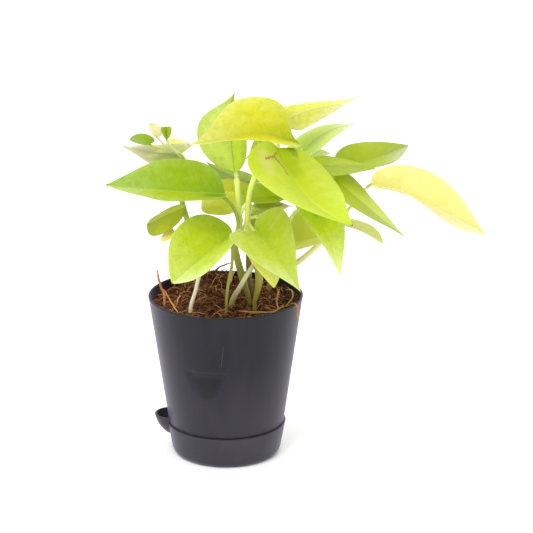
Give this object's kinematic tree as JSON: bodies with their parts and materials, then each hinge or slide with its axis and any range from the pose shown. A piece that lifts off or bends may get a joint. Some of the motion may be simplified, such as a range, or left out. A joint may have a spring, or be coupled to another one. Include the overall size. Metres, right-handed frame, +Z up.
{
  "type": "potted trailing plant",
  "caption": "Potted pothos with yellow-green heart-shaped leaves on rooted stems in a black tapered pot standing in a self-watering saucer with a filling spout.",
  "frame": {"origin": "centre of the saucer's flat underside, on the axis of the pot", "axes": "+Z up along the axis of the pot, -Y towards the viewer (the front), +X to the viewer's right; the saucer's spout points along -X"},
  "size_m": [0.2638, 0.1806, 0.2612],
  "materials": {
    "pot_plastic": "satin black moulded plastic, a faint dent and a fine scratch on the front",
    "saucer_plastic": "satin black moulded plastic, a little lighter than the pot",
    "coir_soil": "loose red-brown coco fibre with curled strands; fabric stands in for fibrous soil",
    "stem_skin": "smooth pale cream to olive-green plant skin; leather stands in for it",
    "blade_top_yellow": "waxy leaf with faint side veins and a paler edge; leather stands in for it",
    "blade_front_large": "waxy leaf with faint side veins and a paler edge; leather stands in for it",
    "blade_front_middle": "waxy leaf with faint side veins and a paler edge; leather stands in for it",
    "blade_front_left": "waxy leaf with faint side veins and a paler edge; leather stands in for it",
    "blade_left_green": "waxy leaf with faint side veins and a paler edge; leather stands in for it",
    "blade_right_drooping": "waxy leaf with faint side veins and a paler edge; leather stands in for it",
    "blade_front_hidden": "waxy leaf with faint side veins and a paler edge; leather stands in for it",
    "blade_back_upright": "waxy leaf with faint side veins and a paler edge; leather stands in for it",
    "blade_back_right_yellow": "waxy leaf with faint side veins and a paler edge; leather stands in for it",
    "blade_back_right_pale": "waxy leaf with faint side veins and a paler edge; leather stands in for it",
    "blade_right_middle": "waxy leaf with faint side veins and a paler edge; leather stands in for it",
    "blade_right_back": "waxy leaf with faint side veins and a paler edge; leather stands in for it",
    "blade_right_low": "waxy leaf with faint side veins and a paler edge; leather stands in for it",
    "blade_right_curled": "waxy leaf with faint side veins and a paler edge; leather stands in for it",
    "blade_far_right": "waxy leaf with faint side veins and a paler edge; leather stands in for it",
    "blade_under_right": "waxy leaf with faint side veins and a paler edge; leather stands in for it",
    "blade_right_small": "waxy leaf with faint side veins and a paler edge; leather stands in for it",
    "blade_middle_yellow": "waxy leaf with faint side veins and a paler edge; leather stands in for it",
    "blade_back_left": "waxy leaf with faint side veins and a paler edge; leather stands in for it",
    "blade_middle_under": "waxy leaf with faint side veins and a paler edge; leather stands in for it",
    "blade_middle_dark": "waxy leaf with faint side veins and a paler edge; leather stands in for it",
    "blade_middle_green": "waxy leaf with faint side veins and a paler edge; leather stands in for it",
    "blade_vine_cup": "waxy leaf with faint side veins and a paler edge; leather stands in for it",
    "blade_vine_round": "waxy leaf with faint side veins and a paler edge; leather stands in for it",
    "blade_vine_bud_cream": "waxy leaf with faint side veins and a paler edge; leather stands in for it",
    "blade_vine_bud_green": "waxy leaf with faint side veins and a paler edge; leather stands in for it",
    "blade_vine_yellow": "waxy leaf with faint side veins and a paler edge; leather stands in for it",
    "blade_vine_olive": "waxy leaf with faint side veins and a paler edge; leather stands in for it",
    "blade_vine_bud_pale": "waxy leaf with faint side veins and a paler edge; leather stands in for it"
  },
  "bodies": {
    "root": {"saucer": "saucer_plastic", "pot": "pot_plastic", "soil": "coir_soil", "stem_left": "stem_skin", "stem_front_left": "stem_skin", "stem_middle": "stem_skin", "stem_front": "stem_skin", "stem_slanting": "stem_skin", "stem_right": "stem_skin", "stem_far_right": "stem_skin", "leaf_top_yellow": "blade_top_yellow", "leaf_front_large": "blade_front_large", "leaf_front_middle": "blade_front_middle", "leaf_front_left": "blade_front_left", "leaf_left_green": "blade_left_green", "leaf_right_drooping": "blade_right_drooping", "leaf_front_hidden": "blade_front_hidden", "leaf_back_upright": "blade_back_upright", "leaf_back_right_yellow": "blade_back_right_yellow", "leaf_back_right_pale": "blade_back_right_pale", "leaf_right_middle": "blade_right_middle", "leaf_right_back": "blade_right_back", "leaf_right_low": "blade_right_low", "leaf_right_curled": "blade_right_curled", "leaf_far_right": "blade_far_right", "leaf_under_right": "blade_under_right", "leaf_right_small": "blade_right_small", "leaf_middle_yellow": "blade_middle_yellow", "leaf_back_left": "blade_back_left", "leaf_middle_under": "blade_middle_under", "leaf_middle_dark": "blade_middle_dark", "leaf_middle_green": "blade_middle_green", "leaf_vine_cup": "blade_vine_cup", "leaf_vine_round": "blade_vine_round", "leaf_vine_bud_cream": "blade_vine_bud_cream", "leaf_vine_bud_green": "blade_vine_bud_green", "leaf_vine_yellow": "blade_vine_yellow", "leaf_vine_olive": "blade_vine_olive", "leaf_vine_bud_pale": "blade_vine_bud_pale"}
  },
  "joints": []
}
